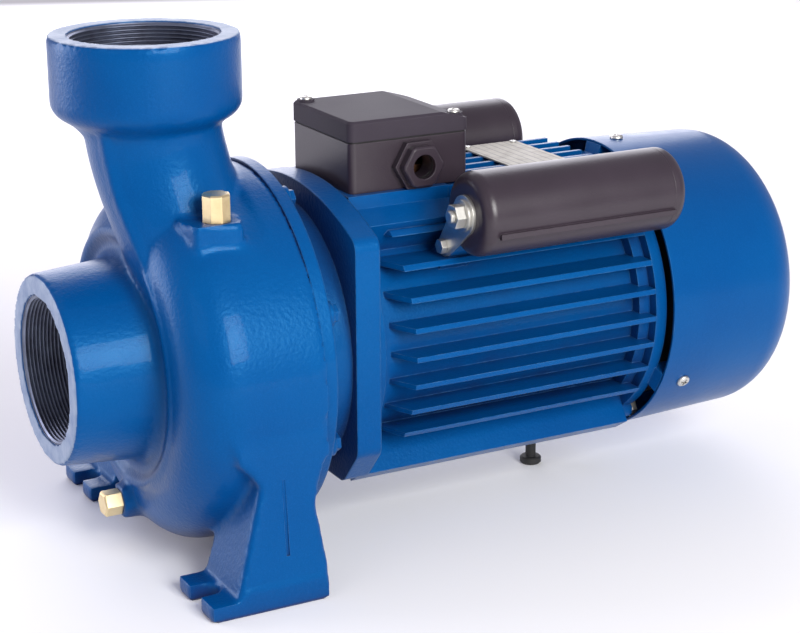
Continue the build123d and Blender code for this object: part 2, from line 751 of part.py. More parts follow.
fin_root_r = shell_r - 2
rim_height = 8.0            # of the rims at the ends of the barrel
rim_width = 8.0
top_fin_pitch = 14.0
lug_cover = 6.0             # metal outside the tie rods in the upper lugs
tie_circle_r = sqrt(tie_y ** 2 + tie_z ** 2)
tie_angle = degrees(atan2(tie_z, tie_y))
tie_lugs = (
    # angle about the shaft, radius it reaches
    (tie_angle, tie_circle_r + lug_cover),
    (180 - tie_angle, tie_circle_r + lug_cover),
    (180 + tie_angle, lug_r),
    (-tie_angle, lug_r),
)
top_fin_z = 91.3
boss_y = 68.0
boss_z = 61.0
boss_r = 6.5
boss_length = 20.0
# side of the motor, and where the capacitor's sleeve starts there
capacitor_sides = ((-1, near_capacitor_x), (1, far_capacitor_x))
boss_circle_r = sqrt(boss_y ** 2 + boss_z ** 2)
boss_angle = degrees(atan2(boss_z, boss_y))
strap_screw_r = 2.5
strap_screw_reach = 10.0
support_boss_z = -97.0
support_reach = 20.0        # of the stem into the motor


with BuildPart() as motor_frame:
    # level cooling fins on both sides, upright ones below and under the nameplate
    with BuildSketch(Plane.YZ.offset(fin_front)):
        with Locations([(0, row * fin_pitch) for row in range(-3, 5)]):
            Rectangle(2 * fin_tip_r, fin_thickness)
        with Locations([(row * fin_pitch, -fin_tip_r / 2) for row in range(-2, 3)]):
            Rectangle(fin_thickness, fin_tip_r)
        Circle(fin_tip_r, mode=Mode.INTERSECT)
    extrude(amount=fin_rear - fin_front)
    with BuildSketch(Plane.XZ):
        with BuildLine():
            Polyline((fin_front - 1, shell_r), (fin_front, shell_r), (fin_front + 9, fin_tip_r + 1),
                     (fin_front - 1, fin_tip_r + 1), close=True)
        make_face()
    revolve(axis=Axis.X, mode=Mode.SUBTRACT)
    with BuildSketch(Plane.YZ.offset(pad_rear_x)):
        with Locations([(row * top_fin_pitch, top_fin_z / 2) for row in range(-3, 4)]):
            Rectangle(fin_thickness, top_fin_z)
    extrude(amount=fin_rear - pad_rear_x)
    # barrel with a rim at each end and the lugs that carry the tie rods
    with BuildSketch(Plane.YZ.offset(plate_rear)):
        Circle(shell_r)
        for angle, reach in tie_lugs:
            with PolarLocations((fin_root_r + reach) / 2, 1, start_angle=angle):
                Rectangle(reach - fin_root_r, lug_width)
    extrude(amount=motor_rear - plate_rear)
    with BuildSketch(Plane.YZ.offset(plate_rear)):
        Circle(shell_r + rim_height)
    extrude(amount=rim_width)
    with BuildSketch(Plane.YZ.offset(motor_rear)):
        Circle(shell_r + rim_height)
    extrude(amount=-rim_width)
    # pad for the terminal box
    with BuildSketch(Plane.XY.offset(box_floor_z)):
        with Locations(((pad_front_x + pad_rear_x) / 2, 0)):
            Rectangle(pad_rear_x - pad_front_x, 2 * pad_half_width)
    extrude(amount=-box_floor_z + 40)
    # bosses for the capacitor straps and for the support foot
    for side, front in capacitor_sides:
        with BuildSketch(Plane.YZ.offset(front)):
            with Locations((side * boss_y, boss_z)):
                Circle(boss_r)
            web_angle = 90 - side * (90 - boss_angle)
            with PolarLocations((fin_root_r + boss_circle_r) / 2, 1, start_angle=web_angle):
                Rectangle(boss_circle_r - fin_root_r, 2 * boss_r)
        extrude(amount=boss_length)
    with BuildSketch(Plane.XY.offset(support_boss_z)):
        with Locations((support_x, 0)):
            Circle(support_head_r)
    extrude(amount=-support_boss_z - stator_r)
    # bore for the stator, wire hole, tie rod holes and tapped holes
    with BuildSketch(Plane.YZ.offset(plate_rear)):
        Circle(stator_r)
        with GridLocations(2 * tie_y, 2 * tie_z, 2, 2):
            Circle(tie_r + seat_gap)
    extrude(amount=motor_rear - plate_rear, mode=Mode.SUBTRACT)
    with BuildSketch(Plane.XY.offset(box_floor_z)):
        with Locations((wire_hole_x, 0)):
            Circle(wire_hole_r)
    extrude(amount=-box_floor_z + 40, mode=Mode.SUBTRACT)
    for side, front in capacitor_sides:
        with BuildSketch(Plane.YZ.offset(front)):
            with Locations((side * boss_y, boss_z)):
                Circle(strap_screw_r)
        extrude(amount=strap_screw_reach + 2, mode=Mode.SUBTRACT)
    with BuildSketch(Plane.XY.offset(support_boss_z)):
        with Locations((support_x, 0)):
            Circle(support_stem_r)
    extrude(amount=support_reach + 2, mode=Mode.SUBTRACT)
save(motor_frame, "motor_frame")

coil_height = 12.0          # of the winding in a stator slot
coil_width = 4.6

with BuildPart() as stator_core:
    with BuildSketch(Plane.YZ.offset(core_front)):
        Circle(stator_r)
        Circle(stator_bore, mode=Mode.SUBTRACT)
        with PolarLocations(stator_bore + 9, slot_count):
            Rectangle(coil_height + 2, coil_width + 0.4, mode=Mode.SUBTRACT)
    extrude(amount=core_rear - core_front)
save(stator_core, "stator_core")

winding_length = 24.0
winding_depth = 17.0
winding_middle_r = stator_bore + 3 + winding_depth / 2

with BuildPart() as stator_windings:
    for middle_x in (core_front - winding_length / 2 - 0.5, core_rear + winding_length / 2 + 0.5):
        with BuildSketch(Plane.XZ):
            with Locations((middle_x, winding_middle_r)):
                RectangleRounded(winding_length, winding_depth, 6)
        revolve(axis=Axis.X)
    with BuildSketch(Plane.YZ.offset(core_front - 8)):
        with PolarLocations(stator_bore + 9, slot_count):
            Rectangle(coil_height, coil_width)
    extrude(amount=core_rear - core_front + 16)
save(stator_windings, "stator_windings")

rear_race_r = rear_bearing[0]
ear_length = 24.0
ear_arc = 10.0              # degrees
cover_thread_r = 2.0
cover_taper = (cover_front_r - cover_rear_r) / (cover_rear - cover_corner_r - cover_front)
ear_end_r = cover_front_r - cover_wall - seat_gap - cover_taper * ear_length
ear_start_r = cover_front_r - cover_wall - seat_gap

with BuildPart() as rear_end_shield:
    with BuildSketch(Plane.XZ):
        with BuildLine():
            Polyline((rear_bearing_x - 2, rear_race_r), (rear_bearing_x - 2, rear_race_r + 7),
                     (motor_rear, rear_race_r + 12), (motor_rear, shield_r),
                     (motor_rear + shield_thickness, shield_r), (motor_rear + shield_thickness, 13),
                     (rear_bearing_end + 2, 13), (rear_bearing_end + 2, rear_race_r), close=True)
        make_face()
    revolve(axis=Axis.X)
    with BuildSketch(Plane.YZ.offset(motor_rear)):
        with GridLocations(2 * tie_y, 2 * tie_z, 2, 2):
            Circle(tie_r + 2.5)
    extrude(amount=shield_thickness)
    for angle in cover_screw_angles:
        start = radians(angle - ear_arc / 2)
        with BuildSketch(Plane(origin=(0, 0, 0), x_dir=(1, 0, 0), z_dir=(0, -sin(start), cos(start)))):
            with BuildLine():
                Polyline((cover_front - 2, fan_r + 4), (cover_front - 2, ear_start_r - 8),
                         (cover_front, ear_start_r), (cover_front + ear_length, ear_end_r),
                         (cover_front + ear_length, fan_r + 4), close=True)
            make_face()
        revolve(axis=Axis.X, revolution_arc=ear_arc)
    with BuildSketch(Plane.YZ.offset(motor_rear)):
        with GridLocations(2 * tie_y, 2 * tie_z, 2, 2):
            Circle(tie_r + seat_gap)
    extrude(amount=shield_thickness, mode=Mode.SUBTRACT)
    for angle in cover_screw_angles:
        with BuildSketch(radial_plane(cover_screw_x, angle).offset(fan_r)):
            Circle(cover_thread_r)
        extrude(amount=20, mode=Mode.SUBTRACT)
save(rear_end_shield, "rear_end_shield")

with BuildPart() as wave_washer:
    with BuildSketch(Plane.YZ.offset(rear_bearing_end + 0.3)):
        Circle(rear_race_r - seat_gap)
        Circle(rear_race_r - 3, mode=Mode.SUBTRACT)
    extrude(amount=1.2)
save(wave_washer, "wave_washer")

with BuildPart() as tie_rods:
    with BuildSketch(Plane.YZ.offset(motor_rear + shield_thickness)):
        with GridLocations(2 * tie_y, 2 * tie_z, 2, 2):
            RegularPolygon(tie_nut_af / 2, 6, major_radius=False)
    extrude(amount=tie_nut_height)
    with BuildSketch(Plane.YZ.offset(motor_rear + shield_thickness)):
        with GridLocations(2 * tie_y, 2 * tie_z, 2, 2):
            Circle(tie_r)
    extrude(amount=-(motor_rear + shield_thickness - plate_rear + tie_reach))
save(tie_rods, "tie_rods")

corner_x = cover_rear - cover_corner_r
corner_z = cover_rear_r - cover_corner_r
inner_corner_r = cover_corner_r - cover_wall
with BuildPart() as fan_cover:
    with BuildSketch(Plane.XZ):
        with BuildLine():
            Polyline((corner_x, cover_rear_r - cover_wall), (cover_front, cover_front_r - cover_wall),
                     (cover_front, cover_front_r), (corner_x, cover_rear_r))
            ThreePointArc((corner_x, cover_rear_r),
                          (corner_x + cover_corner_r * sin(pi / 4), corner_z + cover_corner_r * cos(pi / 4)),
                          (cover_rear, corner_z))
            Polyline((cover_rear, corner_z), (cover_rear, 0), (cover_rear - cover_wall, 0),
                     (cover_rear - cover_wall, corner_z))
            ThreePointArc((cover_rear - cover_wall, corner_z),
                          (corner_x + inner_corner_r * sin(pi / 4), corner_z + inner_corner_r * cos(pi / 4)),
                          (corner_x, cover_rear_r - cover_wall))
        make_face()
    revolve(axis=Axis.X)
    # radial slots that let the cooling air in
    with BuildSketch(Plane.YZ.offset(cover_rear)):
        for ring_r, slots in air_slot_rings:
            with PolarLocations(ring_r, slots):
                SlotOverall(air_slot_length, air_slot_width)
    extrude(amount=-2 * cover_wall, mode=Mode.SUBTRACT)
    for angle in cover_screw_angles:
        with BuildSketch(radial_plane(cover_screw_x, angle).offset(fan_r)):
            Circle(cover_thread_r + seat_gap)
        extrude(amount=20, mode=Mode.SUBTRACT)
save(fan_cover, "fan_cover")

cover_screw_r = cover_front_r - cover_taper * (cover_screw_x - cover_front) + 2 * seat_gap
with BuildPart() as fan_cover_screws:
    for angle in cover_screw_angles:
        with BuildSketch(radial_plane(cover_screw_x, angle).offset(cover_screw_r)):
            Circle(cover_head_r)
        extrude(amount=cover_head_height)
        with BuildSketch(radial_plane(cover_screw_x, angle).offset(cover_screw_r)):
            Circle(cover_thread_r)
        extrude(amount=-11)
save(fan_cover_screws, "fan_cover_screws")

# ======================= terminal box =======================

box_middle_x = (box_front + box_rear) / 2
box_length = box_rear - box_front
box_width = 2 * box_half_width
inner_length = box_length - 2 * box_wall
inner_width = box_width - 2 * box_wall
body_top_z = box_seam_z - gasket_thickness
board_z = box_floor_z + box_floor
pillar_r = 4.5
lid_screw_r = 1.75
lid_head_r = 3.8
lid_head_height = 2.0
lid_screw_depth = 14.0      # below the top of the box
# two screws on a diagonal: place and height of the boss that each head sits on
lid_screw_places = (
    (box_front + lid_screw_inset, box_half_width - lid_screw_inset, box_top_z + 1.2),
    (box_rear - lid_screw_inset, -box_half_width + lid_screw_inset, lid_rear_z + 3.5),
)
pillar_axes = [(x, y) for x, y, top in lid_screw_places]

with BuildPart() as terminal_box:
    with BuildSketch(Plane.XY.offset(box_floor_z)):
        with Locations((box_middle_x, 0)):
            RectangleRounded(box_length, box_width, box_corner_r)
    extrude(amount=body_top_z - box_floor_z)
    with BuildSketch(Plane.XY.offset(board_z)):
        with Locations((box_middle_x, 0)):
            RectangleRounded(inner_length, inner_width, box_corner_r / 2)
        with Locations(*pillar_axes):
            Circle(pillar_r, mode=Mode.SUBTRACT)
    extrude(amount=body_top_z - board_z, mode=Mode.SUBTRACT)
    with BuildSketch(Plane.XY.offset(body_top_z)):
        with Locations(*pillar_axes):
            Circle(lid_screw_r)
    extrude(amount=-lid_screw_depth - 2, mode=Mode.SUBTRACT)
    with BuildSketch(Plane.XY.offset(box_floor_z)):
        with Locations((wire_hole_x, 0)):
            Circle(wire_hole_r)
    extrude(amount=box_floor, mode=Mode.SUBTRACT)
    with BuildSketch(Plane.XZ.offset(box_half_width)):
        with Locations((gland_x, gland_z)):
            Circle(gland_tube_r + seat_gap)
    extrude(amount=-box_wall, mode=Mode.SUBTRACT)
save(terminal_box, "terminal_box")

with BuildPart() as terminal_box_gasket:
    with BuildSketch(Plane.XY.offset(body_top_z)):
        with Locations((box_middle_x, 0)):
            RectangleRounded(box_length - 1, box_width - 1, box_corner_r - 0.5)
            RectangleRounded(inner_length, inner_width, box_corner_r / 2, mode=Mode.SUBTRACT)
    extrude(amount=gasket_thickness)
save(terminal_box_gasket, "terminal_box_gasket")

with BuildPart() as terminal_box_lid:
    with BuildSketch(Plane.XY.offset(box_seam_z)):
        with Locations((box_middle_x, 0)):
            RectangleRounded(box_length + 1, box_width + 1, box_corner_r + 0.5)
    extrude(amount=box_top_z - box_seam_z)
    chamfer(faces().sort_by(Axis.Z)[-1].edges(), 1.5)
    # the top falls away towards the fan end
    with BuildSketch(Plane.XZ):
        with BuildLine():
            Polyline((lid_slope_x, box_top_z), (box_rear + 1, lid_rear_z), (box_rear + 1, box_top_z + 1),
                     (lid_slope_x, box_top_z + 1), close=True)
        make_face()
    extrude(amount=box_width, both=True, mode=Mode.SUBTRACT)
    for x, y, top in lid_screw_places:
        with BuildSketch(Plane.XY.offset(box_seam_z)):
            with Locations((x, y)):
                Circle(pillar_r + 1)
        extrude(amount=top - box_seam_z)
    with BuildSketch(Plane.XY.offset(box_seam_z)):
        with Locations((box_middle_x, 0)):
            RectangleRounded(inner_length, inner_width, box_corner_r / 2)
        with Locations(*pillar_axes):
            Circle(pillar_r + 1, mode=Mode.SUBTRACT)
    extrude(amount=lid_rear_z - box_seam_z - box_wall, mode=Mode.SUBTRACT)
    with BuildSketch(Plane.XY.offset(box_seam_z)):
        with Locations(*pillar_axes):
            Circle(lid_screw_r + seat_gap)
    extrude(amount=2 * (box_top_z - box_seam_z), mode=Mode.SUBTRACT)
save(terminal_box_lid, "terminal_box_lid")

with BuildPart() as lid_screws:
    for x, y, top in lid_screw_places:
        with BuildSketch(Plane.XY.offset(top)):
            with Locations((x, y)):
                Circle(lid_head_r)
        extrude(amount=lid_head_height)
        with BuildSketch(Plane.XY.offset(top)):
            with Locations((x, y)):
                Circle(lid_screw_r)
        extrude(amount=body_top_z - lid_screw_depth - top)
save(lid_screws, "lid_screws")

board_x = box_middle_x + 6
board_thickness = 8.0
terminal_pitch = 16.0
terminal_r = 2.0
terminal_length = 12.0
terminal_nut_af = 7.0
terminal_nut_height = 3.2

with BuildPart() as terminal_board:
    with BuildSketch(Plane.XY.offset(board_z)):
        with Locations((board_x, 0)):
            RectangleRounded(2 * terminal_pitch + 2, 3 * terminal_pitch + 4, 2)
    extrude(amount=board_thickness)
save(terminal_board, "terminal_board")

with BuildPart() as terminal_studs:
    with BuildSketch(Plane.XY.offset(board_z + board_thickness)):
        with Locations((board_x, 0)):
            with GridLocations(terminal_pitch, terminal_pitch, 2, 3):
                RegularPolygon(terminal_nut_af / 2, 6, major_radius=False)
    extrude(amount=terminal_nut_height)
    with BuildSketch(Plane.XY.offset(board_z + board_thickness)):
        with Locations((board_x, 0)):
            with GridLocations(terminal_pitch, terminal_pitch, 2, 3):
                Circle(terminal_r)
    extrude(amount=terminal_length)
save(terminal_studs, "terminal_studs")

earth_y = -24.0
earth_head_r = 4.0
earth_head_height = 2.5

with BuildPart() as earth_screw:
    with BuildSketch(Plane.XY.offset(board_z)):
        with Locations((wire_hole_x, earth_y)):
            Circle(earth_head_r)
    extrude(amount=earth_head_height)
    with BuildSketch(Plane.XY.offset(board_z + earth_head_height)):
        with Locations((wire_hole_x, earth_y)):
            Circle(terminal_r)
    extrude(amount=3)
save(earth_screw, "earth_screw")

gland_face = box_half_width + gland_hex_thickness
gland_inside = box_half_width - box_wall - 2
gland_tube_length = gland_face + 1 - gland_inside
gland_hex_af = 2 * (gland_z - box_floor_z) - 0.6

with BuildPart() as cable_gland:
    with BuildSketch(Plane.XZ.offset(gland_inside)):
        with Locations((gland_x, gland_z)):
            Circle(gland_tube_r)
    extrude(amount=gland_tube_length)
    with BuildSketch(Plane.XZ.offset(box_half_width)):
        with Locations((gland_x, gland_z)):
            RegularPolygon(gland_hex_af / 2, 6, major_radius=False)
    extrude(amount=gland_hex_thickness)
    with BuildSketch(Plane.XZ.offset(gland_inside)):
        with Locations((gland_x, gland_z)):
            Circle(gland_bore)
    extrude(amount=gland_tube_length, mode=Mode.SUBTRACT)
save(cable_gland, "cable_gland")

with BuildPart() as gland_seal:
    with BuildSketch(Plane.XZ.offset(gland_face + 1)):
        with Locations((gland_x, gland_z)):
            Circle(gland_tube_r)
            Circle(gland_bore, mode=Mode.SUBTRACT)
    extrude(amount=gland_nut_length - gland_nut_lip - 1)
save(gland_seal, "gland_seal")

with BuildPart() as gland_nut:
    with BuildSketch(Plane.XZ.offset(gland_face + seat_gap)):
        with Locations((gland_x, gland_z)):
            RegularPolygon(gland_nut_af / 2, 6, major_radius=False)
            Circle(gland_nut_r, mode=Mode.INTERSECT)
    extrude(amount=gland_nut_length)
    chamfer(faces().sort_by(Axis.Y)[0].edges(), gland_nut_edge)
    with BuildSketch(Plane.XZ.offset(gland_face + seat_gap)):
        with Locations((gland_x, gland_z)):
            Circle(gland_tube_r + seat_gap)
    extrude(amount=gland_nut_length - gland_nut_lip, mode=Mode.SUBTRACT)
    with BuildSketch(Plane.XZ.offset(gland_face + seat_gap)):
        with Locations((gland_x, gland_z)):
            Circle(gland_bore)
    extrude(amount=gland_nut_length, mode=Mode.SUBTRACT)
save(gland_nut, "gland_nut")

# ======================= capacitors =======================


def capacitor_pieces(name, side, front):
    """Write the plastic sleeve, its end cap and the can inside, on one side of the motor."""
    middle = (side * capacitor_y, capacitor_z)
    with BuildPart() as sleeve:
        with BuildSketch(Plane.YZ.offset(front)):
            with Locations(middle):
                Circle(capacitor_r)
        extrude(amount=sleeve_length)
        fillet(edges().filter_by(GeomType.CIRCLE).sort_by(Axis.X)[0], capacitor_edge_r)
        with BuildSketch(Plane.YZ.offset(front + capacitor_edge_r + 2)):
            with Locations((middle[0] + side * (capacitor_r - 0.6), capacitor_z - 9)):
                Rectangle(3, 3.4)
        extrude(amount=sleeve_length - capacitor_edge_r - 2)
        with BuildSketch(Plane.YZ.offset(front + sleeve_end)):
            with Locations(middle):
                Circle(capacitor_r - capacitor_wall)
        extrude(amount=sleeve_length, mode=Mode.SUBTRACT)
        with BuildSketch(Plane.YZ.offset(front)):
            with Locations(middle):
                Circle(stud_r + seat_gap)
        extrude(amount=sleeve_end, mode=Mode.SUBTRACT)
    save(sleeve, name + "_capacitor_sleeve")
    with BuildPart() as cap:
        with BuildSketch(Plane.YZ.offset(front + sleeve_length)):
            with Locations(middle):
                Circle(capacitor_r)
        extrude(amount=cap_length)
        fillet(edges().filter_by(GeomType.CIRCLE).sort_by(Axis.X)[-1], capacitor_edge_r)
    save(cap, name + "_capacitor_cap")
    with BuildPart() as can:
        with BuildSketch(Plane.YZ.offset(front + sleeve_end)):
            with Locations(middle):
                Circle(capacitor_r - capacitor_wall - seat_gap)
        extrude(amount=sleeve_length - sleeve_end - 5)
        fillet(edges().filter_by(GeomType.CIRCLE), 1.5)
    save(can, name + "_capacitor")


capacitor_pieces("near", -1, near_capacitor_x)
capacitor_pieces("far", 1, far_capacitor_x)

with BuildPart() as capacitor_straps:
    for side, front in capacitor_sides:
        with BuildSketch(Plane.YZ.offset(front)):
            with Locations((side * capacitor_y, capacitor_z)):
                Circle(strap_end_r)
            with Locations((side * boss_y, boss_z)):
                Circle(boss_r)
            make_hull()
            with Locations((side * capacitor_y, capacitor_z)):
                Circle(stud_r + seat_gap, mode=Mode.SUBTRACT)
            with Locations((side * boss_y, boss_z)):
                Circle(strap_screw_r + seat_gap, mode=Mode.SUBTRACT)
        extrude(amount=-strap_thickness)
save(capacitor_straps, "capacitor_straps")

with BuildPart() as capacitor_washers:
    for side, front in capacitor_sides:
        with BuildSketch(Plane.YZ.offset(front - strap_thickness)):
            with Locations((side * capacitor_y, capacitor_z)):
                Circle(stud_washer_r)
                Circle(stud_r + seat_gap, mode=Mode.SUBTRACT)
        extrude(amount=-stud_washer_thickness)
save(capacitor_washers, "capacitor_washers")

with BuildPart() as capacitor_nuts:
    for side, front in capacitor_sides:
        with BuildSketch(Plane.YZ.offset(front - strap_thickness - stud_washer_thickness)):
            with Locations((side * capacitor_y, capacitor_z)):
                RegularPolygon(stud_nut_af / 2, 6, major_radius=False)
                Circle(stud_r, mode=Mode.SUBTRACT)
        extrude(amount=-stud_nut_height)
save(capacitor_nuts, "capacitor_nuts")

with BuildPart() as capacitor_studs:
    for side, front in capacitor_sides:
        with BuildSketch(Plane.YZ.offset(front + sleeve_end)):
            with Locations((side * capacitor_y, capacitor_z)):
                Circle(stud_r)
        extrude(amount=-sleeve_end - stud_reach)
save(capacitor_studs, "capacitor_studs")

with BuildPart() as strap_screws:
    for side, front in capacitor_sides:
        with BuildSketch(Plane.YZ.offset(front - strap_thickness)):
            with Locations((side * boss_y, boss_z)):
                RegularPolygon(strap_screw_af / 2, 6, major_radius=False)
        extrude(amount=-strap_screw_height)
        with BuildSketch(Plane.YZ.offset(front - strap_thickness)):
            with Locations((side * boss_y, boss_z)):
                Circle(strap_screw_r)
        extrude(amount=strap_thickness + strap_screw_reach)
save(strap_screws, "strap_screws")

# ======================= nameplate and support foot =======================

nameplate_middle_x = 325.0
nameplate_length = 42.0
nameplate_width = 84.0
nameplate_thickness = 1.0
rivet_inset = 3.5
rivet_r = 1.3
rivet_head_r = 2.2
rivet_head_height = 0.8

with BuildPart() as nameplate:
    with BuildSketch(Plane.XY.offset(top_fin_z)):
        with Locations((nameplate_middle_x, 0)):
            RectangleRounded(nameplate_length, nameplate_width, 2)
            with GridLocations(nameplate_length - 2 * rivet_inset, nameplate_width - 2 * rivet_inset, 2, 2):
                Circle(rivet_r + seat_gap, mode=Mode.SUBTRACT)
    extrude(amount=nameplate_thickness)
save(nameplate, "nameplate")

with BuildPart() as nameplate_rivets:
    with BuildSketch(Plane.XY.offset(top_fin_z)):
        with Locations((nameplate_middle_x, 0)):
            with GridLocations(nameplate_length - 2 * rivet_inset, nameplate_width - 2 * rivet_inset, 2, 2):
                Circle(rivet_r)
    extrude(amount=nameplate_thickness)
    with BuildSketch(Plane.XY.offset(top_fin_z + nameplate_thickness)):
        with Locations((nameplate_middle_x, 0)):
            with GridLocations(nameplate_length - 2 * rivet_inset, nameplate_width - 2 * rivet_inset, 2, 2):
                Circle(rivet_head_r)
    extrude(amount=rivet_head_height)
save(nameplate_rivets, "nameplate_rivets")

with BuildPart() as support_foot:
    with BuildSketch(Plane.XY.offset(floor_z)):
        with Locations((support_x, 0)):
            Circle(support_head_r)
    extrude(amount=support_head_height)
    with BuildSketch(Plane.XY.offset(floor_z)):
        with Locations((support_x, 0)):
            Circle(support_stem_r)
    extrude(amount=support_boss_z - floor_z + support_reach)
    chamfer(edges().filter_by(GeomType.CIRCLE).filter_by(lambda e: e.radius > support_stem_r + 1), 1)
save(support_foot, "support_foot")
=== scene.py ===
"""Close-coupled centrifugal pump: finishes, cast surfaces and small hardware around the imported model."""

import json
import math

import bpy
from mathutils import Matrix, Vector
from mathutils.geometry import intersect_point_line


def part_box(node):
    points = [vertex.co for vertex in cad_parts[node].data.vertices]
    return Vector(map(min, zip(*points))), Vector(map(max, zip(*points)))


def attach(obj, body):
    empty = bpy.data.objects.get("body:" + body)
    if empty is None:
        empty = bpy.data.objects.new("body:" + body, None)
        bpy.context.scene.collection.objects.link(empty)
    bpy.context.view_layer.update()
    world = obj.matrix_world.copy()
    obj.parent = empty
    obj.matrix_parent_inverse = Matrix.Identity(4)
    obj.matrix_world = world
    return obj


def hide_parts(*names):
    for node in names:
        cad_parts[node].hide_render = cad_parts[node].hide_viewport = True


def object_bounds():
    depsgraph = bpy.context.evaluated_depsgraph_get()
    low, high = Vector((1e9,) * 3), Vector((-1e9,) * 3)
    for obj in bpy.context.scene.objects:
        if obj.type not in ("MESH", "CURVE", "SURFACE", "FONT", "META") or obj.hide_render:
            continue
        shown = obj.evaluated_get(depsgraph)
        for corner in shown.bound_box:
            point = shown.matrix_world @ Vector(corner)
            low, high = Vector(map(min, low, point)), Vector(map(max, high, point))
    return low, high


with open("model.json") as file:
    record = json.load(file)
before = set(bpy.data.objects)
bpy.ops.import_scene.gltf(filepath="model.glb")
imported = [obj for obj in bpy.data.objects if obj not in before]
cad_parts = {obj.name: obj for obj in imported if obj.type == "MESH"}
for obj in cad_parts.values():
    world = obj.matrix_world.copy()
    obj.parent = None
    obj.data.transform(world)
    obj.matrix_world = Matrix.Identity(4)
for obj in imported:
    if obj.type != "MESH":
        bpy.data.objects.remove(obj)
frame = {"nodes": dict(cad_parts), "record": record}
cad_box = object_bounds()

MM = 0.001
nodes = frame["nodes"]
scene = bpy.context.scene


# ---------------------------------------------------------------- finishes


class Value:
    """One output of a finish's node tree. Arithmetic on it adds Math nodes."""

    def __init__(self, finish, socket):
        self.finish = finish
        self.socket = socket

    def calc(self, operation, *others, clamp=False):
        node = self.finish.tree.nodes.new("ShaderNodeMath")
        node.operation = operation
        node.use_clamp = clamp
        for socket, value in zip(node.inputs, (self, *others)):
            self.finish.feed(socket, value)
        return Value(self.finish, node.outputs[0])

    def swapped(self, operation, other):
        node = self.finish.tree.nodes.new("ShaderNodeMath")
        node.operation = operation
        self.finish.feed(node.inputs[0], other)
        self.finish.feed(node.inputs[1], self)
        return Value(self.finish, node.outputs[0])

    def __add__(self, other):
        return self.calc("ADD", other)

    __radd__ = __add__

    def __sub__(self, other):
        return self.calc("SUBTRACT", other)

    def __rsub__(self, other):
        return self.swapped("SUBTRACT", other)

    def __mul__(self, other):
        return self.calc("MULTIPLY", other)

    __rmul__ = __mul__

    def __truediv__(self, other):
        return self.calc("DIVIDE", other)

    def clamped(self):
        return self.calc("ADD", 0.0, clamp=True)

    def step(self, low, high):
        """0 below low, 1 above high, straight between."""
        return ((self - low) / (high - low)).clamped()


class Finish:
    """A material under construction around one Principled surface."""

    def __init__(self, name, color, roughness, metallic=0.0, **constants):
        self.material = bpy.data.materials.new(name)
        self.material.use_nodes = True
        self.tree = self.material.node_tree
        self.surface = self.tree.nodes["Principled BSDF"]
        self.surface.inputs["Base Color"].default_value = (*color, 1)
        self.surface.inputs["Roughness"].default_value = roughness
        self.surface.inputs["Metallic"].default_value = metallic
        for socket, value in constants.items():
            self.surface.inputs[socket.replace("_", " ")].default_value = value
        self.place = self.node("ShaderNodeTexCoord", out="Object")

    def feed(self, socket, value):
        if isinstance(value, Value):
            self.tree.links.new(value.socket, socket)
        elif socket.type == "RGBA" and len(value) == 3:
            socket.default_value = (*value, 1)
        else:
            socket.default_value = value

    def node(self, kind, out=0, settings=None, **sockets):
        """Adds any node: its settings first, then the values or links of its sockets."""
        node = self.tree.nodes.new(kind)
        for name, value in (settings or {}).items():
            setattr(node, name, value)
        for name, value in sockets.items():
            key = name.replace("_", " ")
            key = int(key[1:]) if key[0] == "i" and key[1:].isdigit() else key
            self.feed(node.inputs[key], value)
        return Value(self, node.outputs[out])

    def noise(self, scale, detail=3.0, rough=0.5, place=None):
        return self.node("ShaderNodeTexNoise", Vector=place or self.place, Scale=scale, Detail=detail,
                         Roughness=rough)

    def stretched(self, x, y, z):
        return self.node("ShaderNodeMapping", Vector=self.place, Scale=(x, y, z))

    def mix(self, factor, first, second, blend="MIX"):
        return self.node("ShaderNodeMix", out=2, settings={"data_type": "RGBA", "blend_type": blend},
                         i0=factor, i6=first, i7=second)

    def edge(self, radius):
        """1 along edges, 0 on open faces."""
        rounded = self.node("ShaderNodeBevel", settings={"samples": 6}, Radius=radius)
        normal = self.node("ShaderNodeNewGeometry", out="Normal")
        aligned = self.node("ShaderNodeVectorMath", out="Value", settings={"operation": "DOT_PRODUCT"},
                            i0=rounded, i1=normal)
        return (1.0 - aligned).step(0.02, 0.2)

    def hollow(self, reach):
        """1 deep in corners and gaps, 0 in the open."""
        return 1.0 - self.node("ShaderNodeAmbientOcclusion", out="AO", settings={"samples": 6},
                               Distance=reach)

    def color(self, value):
        self.feed(self.surface.inputs["Base Color"], value)

    def roughness(self, value):
        self.feed(self.surface.inputs["Roughness"], value)

    def relief(self, height, depth, soft_edge=0.0):
        """Bump of the given depth in metres, over edges rounded by soft_edge."""
        bump = self.node("ShaderNodeBump", Height=height, Distance=depth, Strength=1.0)
        if soft_edge:
            rounded = self.node("ShaderNodeBevel", settings={"samples": 6}, Radius=soft_edge)
            self.feed(bump.socket.node.inputs["Normal"], rounded)
        self.feed(self.surface.inputs["Normal"], bump)


